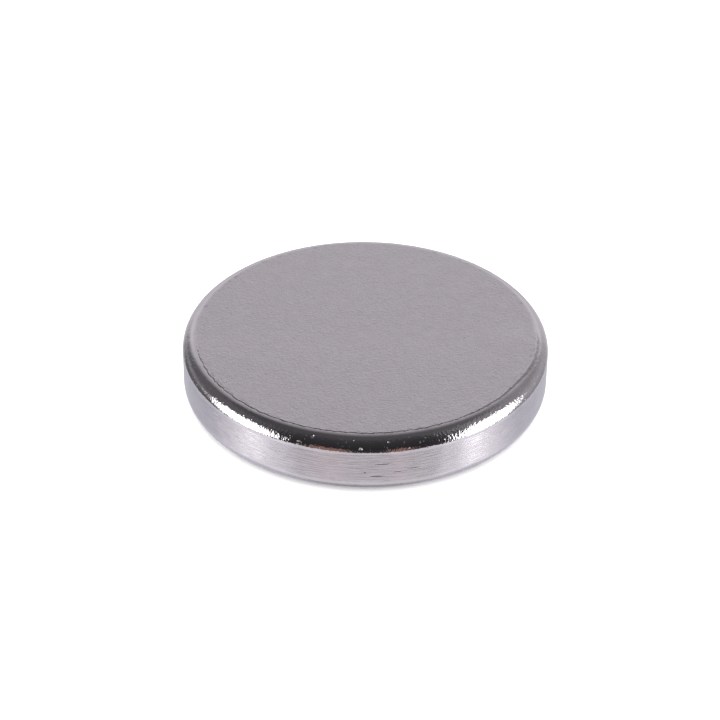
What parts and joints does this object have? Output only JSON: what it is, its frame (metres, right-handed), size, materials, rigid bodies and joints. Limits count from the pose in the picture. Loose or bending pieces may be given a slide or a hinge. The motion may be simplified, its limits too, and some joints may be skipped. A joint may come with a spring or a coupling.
{
  "type": "disc magnet",
  "caption": "Flat round permanent magnet with a ground side wall and rounded rims, magnetised through its thickness.",
  "frame": {"origin": "centre of the lower pole face, which the disc rests on", "axes": "+Z along the magnetic axis, from the lower pole face to the upper one; X and Y lie in the lower face and are free, because the disc is round"},
  "size_m": [0.012, 0.012, 0.002],
  "materials": {
    "nickel_plate": "nickel plate: matte fine-grained pole faces, bright tumbled rims, satin wall with fine grinding lines round it"
  },
  "bodies": {
    "root": {"disc": "nickel_plate"}
  },
  "joints": []
}
